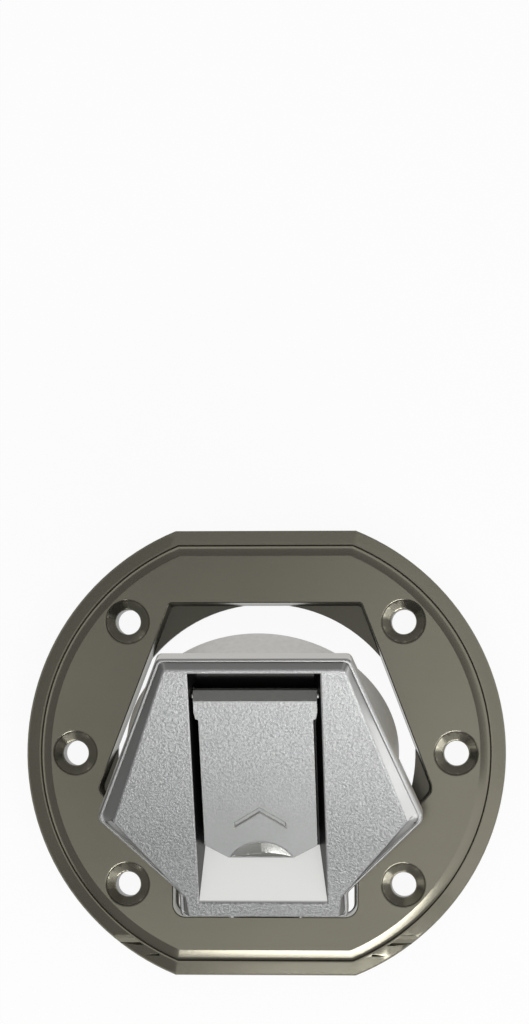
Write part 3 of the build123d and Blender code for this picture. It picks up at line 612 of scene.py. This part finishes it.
def base_casting():
    """Bare light casting, with the lid's deck painted black underneath."""
    material, tree, shader, place = tree_of("cast_metal")
    grain = noise(tree, place, 900.0, 3.0, 0.55)
    down = below(tree, facing(tree, LID_UP), -0.7, 0.1)
    inner = above(tree, lid_length(tree, place), DECK_END_Y, 0.25)
    deck = times(tree, down, inner, above(tree, lid_height(tree, place), DECK_Z, 0.15))
    metal = mixed(tree, grain, *CASTING)
    tree.links.new(mixed(tree, deck, metal, DECK_BLACK), shader.inputs["Base Color"])
    tree.links.new(ramp(tree, deck, 0, 1, 0.8, 0.0), shader.inputs["Metallic"])
    tree.links.new(ramp(tree, deck, 0, 1, 0.36, 0.2), shader.inputs["Roughness"])
    tree.links.new(bump(tree, grain, 0.5, 0.03), shader.inputs["Normal"])
    return material


finishes["cast_metal"] = base_casting()
print("casting:", len(finishes["cast_metal"].node_tree.nodes), "nodes")

# %% [markdown]
# The bolt is dull light metal with a dab of green paint across its tongue. The dab is a band round a
# curve: its middle line moves aside with the square of the length.

# %% Metal of the bolt
BOLT_METAL = ((0.48, 0.50, 0.48), (0.62, 0.64, 0.62))
DAB_GREEN = (0.05, 0.21, 0.14)
DAB_Y = (16.9, 20.2)
DAB_START_X = -0.5
DAB_BEND = 1.3
DAB_HALF = 0.38


def dab_mask(tree, place):
    """1 on the dab: near its curved middle line, between its ends and on the tongue's lower face."""
    length = lid_length(tree, place)
    share = ramp(tree, length, *DAB_Y)
    middle = plus(tree, times(tree, share, share, DAB_BEND), DAB_START_X)
    apart = size_of(tree, math_node(tree, "SUBTRACT", along(tree, place, (1, 0, 0)), middle))
    lower_face = below(tree, facing(tree, LID_UP), -0.55, 0.05)
    on_line = below(tree, apart, DAB_HALF, 0.08)
    started = above(tree, length, DAB_Y[0], 0.1)
    return times(tree, on_line, lower_face, started, below(tree, length, DAB_Y[1], 0.1))


def bolt_metal():
    """Dull light metal; a green dab of paint 0.8 mm wide bends across the tongue's lower face."""
    material, tree, shader, place = tree_of("latch_metal")
    grain = noise(tree, place, 1500.0, 3.0, 0.55)
    dab = dab_mask(tree, place)
    metal = mixed(tree, grain, *BOLT_METAL)
    tree.links.new(mixed(tree, dab, metal, DAB_GREEN), shader.inputs["Base Color"])
    tree.links.new(ramp(tree, dab, 0, 1, 0.55, 0.0), shader.inputs["Metallic"])
    shader.inputs["Roughness"].default_value = 0.42
    tree.links.new(bump(tree, grain, 0.5, 0.02), shader.inputs["Normal"])
    return material


finishes["latch_metal"] = bolt_metal()
print("bolt metal:", len(finishes["latch_metal"].node_tree.nodes), "nodes")

# %% [markdown]
# The remaining finishes are plain: yellow zinc, steel, brass, glossy black plastic, dull grey plastic
# and black rubber. Each still gets a fine grain and a little change of colour. The plastics and the
# rubber also shine less than the shader's usual half, because in the photograph they are nearly black.

# %% Plain finishes
PLAIN = {
    "zinc_yellow": {
        "dark": (0.36, 0.31, 0.13), "light": (0.62, 0.56, 0.30),
        "metallic": 0.9, "roughness": 0.25, "scale": 1600.0, "depth_mm": 0.02,
    },
    "steel": {
        "dark": (0.38, 0.38, 0.37), "light": (0.55, 0.55, 0.54),
        "metallic": 0.95, "roughness": 0.28, "scale": 1200.0, "depth_mm": 0.01,
    },
    "brass_core": {
        "dark": (0.42, 0.33, 0.14), "light": (0.60, 0.48, 0.24),
        "metallic": 0.95, "roughness": 0.3, "scale": 1200.0, "depth_mm": 0.01,
    },
    "black_plastic": {
        "dark": (0.004, 0.004, 0.004), "light": (0.008, 0.008, 0.008),
        "metallic": 0.0, "roughness": 0.16, "scale": 500.0, "depth_mm": 0.02, "shine": 0.3,
    },
    "grey_plastic": {
        "dark": (0.026, 0.026, 0.026), "light": (0.040, 0.040, 0.041),
        "metallic": 0.0, "roughness": 0.5, "scale": 2500.0, "depth_mm": 0.02, "shine": 0.15,
    },
    "black_rubber": {
        "dark": (0.005, 0.005, 0.0045), "light": (0.009, 0.009, 0.0085),
        "metallic": 0.0, "roughness": 0.36, "scale": 700.0, "depth_mm": 0.02, "shine": 0.15,
    },
}


def plain(name, dark, light, metallic, roughness, scale, depth_mm, shine=0.5):
    """Colour drifting between dark and light on a noise of that scale, which also lifts the surface."""
    material, tree, shader, place = tree_of(name)
    grain = noise(tree, place, scale, 3.0, 0.55)
    tree.links.new(mixed(tree, grain, dark, light), shader.inputs["Base Color"])
    shader.inputs["Metallic"].default_value = metallic
    shader.inputs["Roughness"].default_value = roughness
    shader.inputs["Specular IOR Level"].default_value = shine
    tree.links.new(bump(tree, grain, 0.5, depth_mm), shader.inputs["Normal"])
    return material


for name, values in PLAIN.items():
    finishes[name] = plain(name, **values)
print("finishes:", len(finishes))

# %% [markdown]
# The record of the parts says which finish each one has. The flap shares the lid's slot there, and gets
# its own finish here. The CAD parts and the copies that stand for them are dressed alike.

# %% Dress the parts
slots = {entry["node"]: entry["material_slot"] for entry in frame["record"]["subparts"]}
slots["key_flap"] = "flap_silver"
for name, node in nodes.items():
    node.data.materials.clear()
    node.data.materials.append(finishes[slots[name]])
for name, piece in soft.items():
    piece.data.materials.append(finishes[slots[name]])
print("dressed:", len(nodes), "parts and", len(soft), "copies")

# %% [markdown]
# The photograph stands the cap on pure white with hardly a shadow. A lit white floor would turn grey
# near the cap, so the floor and the world show white by themselves to the camera and to reflections,
# and as a source of light they are softer.

# %% Floor and world
FLOOR_HALF = 2.0
FLOOR_DROP = 0.0002
FLOOR_PALE = 0.9
FLOOR_GLOW = 0.93
WORLD_LIGHT = 0.6


def seen_directly(tree):
    """1 for rays from the camera, for reflections and for rays through glass."""
    path = tree.nodes.new("ShaderNodeLightPath")
    seen = math_node(tree, "MAXIMUM", path.outputs["Is Camera Ray"], path.outputs["Is Glossy Ray"])
    return math_node(tree, "MAXIMUM", seen, path.outputs["Is Transmission Ray"])


def white_floor():
    """A plain pale floor that glows white to the camera and in reflections."""
    mesh = bpy.data.meshes.new("floor")
    corners = [(x * FLOOR_HALF, y * FLOOR_HALF, 0) for x, y in ((-1, -1), (1, -1), (1, 1), (-1, 1))]
    mesh.from_pydata(corners, [], [(0, 1, 2, 3)])
    floor = bpy.data.objects.new("floor", mesh)
    floor.location.z = -FLOOR_DROP
    bpy.context.scene.collection.objects.link(floor)
    material, shader = new_material("floor_white")
    tree = material.node_tree
    shader.inputs["Base Color"].default_value = (FLOOR_PALE, FLOOR_PALE, FLOOR_PALE, 1)
    shader.inputs["Roughness"].default_value = 0.9
    glow = tree.nodes.new("ShaderNodeEmission")
    glow.inputs["Color"].default_value = (1, 1, 1, 1)
    blend = tree.nodes.new("ShaderNodeMixShader")
    tree.links.new(times(tree, seen_directly(tree), FLOOR_GLOW), blend.inputs[0])
    tree.links.new(shader.outputs[0], blend.inputs[1])
    tree.links.new(glow.outputs[0], blend.inputs[2])
    tree.links.new(blend.outputs[0], tree.nodes["Material Output"].inputs["Surface"])
    mesh.materials.append(material)


def white_world():
    """White to the camera, in reflections and through glass; a softer white as light."""
    world = bpy.data.worlds.new("white")
    bpy.context.scene.world = world
    world.use_nodes = True
    tree = world.node_tree
    back = tree.nodes["Background"]
    back.inputs["Color"].default_value = (1, 1, 1, 1)
    tree.links.new(ramp(tree, seen_directly(tree), 0, 1, WORLD_LIGHT, 1.0), back.inputs["Strength"])


white_floor()
white_world()
print("floor:", 2 * FLOOR_HALF, "m wide")

# %% [markdown]
# One long low window, in front and a little to the right, lights the sloping band of the ring and the
# lid's face, and two low lamps light the nail nick and the right bevels. Area lamps are used because
# their long soft highlights are those of a window, which a point lamp can't give.

# %% Lamps
LAMPS = {
    "window": {
        "azimuth": -71, "elevation": 33.0, "width": 0.42, "height": 0.055, "level": 11.0, "distance": 0.5,
    },
    "low_left": {"azimuth": -126, "elevation": 4, "width": 0.24, "height": 0.12, "level": 8.0},
    "low_right": {"azimuth": -27, "elevation": 11, "width": 0.56, "height": 0.28, "level": 4.0},
}


def strip(name, azimuth, elevation, width, height, level, distance=0.95):
    """A soft lamp, width by height in metres, level times as bright as white. It stands at that
    azimuth and elevation in degrees at the distance in metres, and looks at the object."""
    turn, rise = math.radians(azimuth), math.radians(elevation)
    away = Vector((math.cos(rise) * math.cos(turn), math.cos(rise) * math.sin(turn), math.sin(rise)))
    lamp = bpy.data.lights.new(name, "AREA")
    lamp.shape = "RECTANGLE"
    lamp.size = width
    lamp.size_y = height
    lamp.energy = level * math.pi * width * height
    holder = bpy.data.objects.new(name, lamp)
    holder.location = away * distance
    holder.rotation_euler = (-away).to_track_quat("-Z", "Y").to_euler()
    bpy.context.scene.collection.objects.link(holder)


for name, values in LAMPS.items():
    strip(name, **values)
print("lamps:", len(LAMPS))

# %% [markdown]
# Bright metal shows its surroundings, so the dark parts of the real room are there too: grey cards and
# mats that only reflections see, each at the place where the photograph's bevels go dark. The cards
# are parts of one ball round the cap, and the mats are parts of a flat ring just above the floor.

# %% Cards and mats that only reflections see
CARD_R = 1.1
MAT_Z = 0.001
CARDS = {
    "card_near": {"azimuth": (-98, -48), "elevation": (0, 20)},
    "card_near_high": {"azimuth": (-150, -42), "elevation": (41, 60), "grey": 0.15},
    "card_far_low": {"azimuth": (35, 150), "elevation": (12, 42)},
    "card_far_high": {"azimuth": (40, 140), "elevation": (58, 82), "grey": 0.02},
    "card_overhead": {"azimuth": (95, 215), "elevation": (70, 86), "grey": 0.55},
    "card_left": {"azimuth": (150, 262), "elevation": (0, 42)},
    "card_right": {"azimuth": (-8, 35), "elevation": (18, 42)},
}
MATS = {
    "mat_left": {"azimuth": (150, 235), "radius": (0.075, CARD_R)},
    "mat_near": {"azimuth": (-102, -45), "radius": (0.30, CARD_R)},
}


def reflected_sheet(name, points, grey):
    """A sheet through a grid of points that only reflections see, glowing at the level grey."""
    rows, columns = points.shape[:2]
    index = np.arange(rows * columns).reshape(rows, columns)
    quads = np.stack((index[:-1, :-1], index[1:, :-1], index[1:, 1:], index[:-1, 1:]), -1).reshape(-1, 4)
    mesh = bpy.data.meshes.new(name)
    mesh.from_pydata(points.reshape(-1, 3).tolist(), [], quads.tolist())
    sheet = bpy.data.objects.new(name, mesh)
    bpy.context.scene.collection.objects.link(sheet)
    material, shader = new_material(name)
    shader.inputs["Base Color"].default_value = (0.0, 0.0, 0.0, 1)
    shader.inputs["Specular IOR Level"].default_value = 0.0
    shader.inputs["Emission Color"].default_value = (1.0, 1.0, 1.0, 1)
    shader.inputs["Emission Strength"].default_value = grey
    mesh.materials.append(material)
    sheet.visible_camera = False
    sheet.visible_shadow = False
    sheet.visible_diffuse = False
    sheet.visible_transmission = False


def dark_card(name, azimuth, elevation, grey=0.2):
    """Part of a ball round the object between two azimuths, counted from +X towards +Y, and two
    elevations, all in degrees: cosine and sine of the azimuth, flattened by the elevation's cosine."""
    turn, rise = np.meshgrid(np.radians(np.linspace(*azimuth, 25)), np.radians(np.linspace(*elevation, 13)))
    way = np.stack((np.cos(rise) * np.cos(turn), np.cos(rise) * np.sin(turn), np.sin(rise)), -1)
    reflected_sheet(name, CARD_R * way, grey)


def dark_mat(name, azimuth, radius, grey=0.2):
    """Part of a flat ring just above the floor between two azimuths and two radii."""
    turn, out = np.meshgrid(np.radians(np.linspace(*azimuth, 25)), np.linspace(*radius, 5))
    points = np.stack((out * np.cos(turn), out * np.sin(turn), np.full_like(out, MAT_Z)), -1)
    reflected_sheet(name, points, grey)


for name, values in CARDS.items():
    dark_card(name, **values)
for name, values in MATS.items():
    dark_mat(name, **values)
bpy.context.scene.view_settings.view_transform = "Standard"
print("cards:", len(CARDS), "mats:", len(MATS))

# %% [markdown]
# The photograph looks straight down from an assumed arm's length, a little from the right. The cap sits
# low in its frame, so the lens is shifted upwards by that share of the picture. A shift keeps the view
# straight, where a tilted camera would make the ring an ellipse.

# %% Camera
PICTURE = (529, 1024)
CAP_PIXEL = (265.17, 753.2)
PIXEL = 0.2206
DISTANCE = 850.0
CAMERA_ASIDE = (57.0, 8.0)
SENSOR = 36.0
RING_H = 8.1
TARGET = Vector((0, 0, RING_H * MM))

camera = bpy.data.cameras.new("camera")
camera.sensor_width = SENSOR
camera.lens = SENSOR / PICTURE[1] * (DISTANCE / PIXEL)
camera.shift_y = (CAP_PIXEL[1] - PICTURE[1] / 2) / PICTURE[1]
camera.shift_x = -(CAP_PIXEL[0] - PICTURE[0] / 2) / PICTURE[1]
holder = bpy.data.objects.new("camera", camera)
away = Vector((*CAMERA_ASIDE, DISTANCE)).normalized()
holder.location = TARGET + away * DISTANCE * MM
side = Vector((0, 1, 0)).cross(away).normalized()
up = away.cross(side)
holder.rotation_euler = Matrix((side, up, away)).transposed().to_euler()
bpy.context.scene.collection.objects.link(holder)
bpy.context.scene.camera = holder
print("lens:", round(camera.lens, 1), "mm, shift:", round(camera.shift_y, 3))
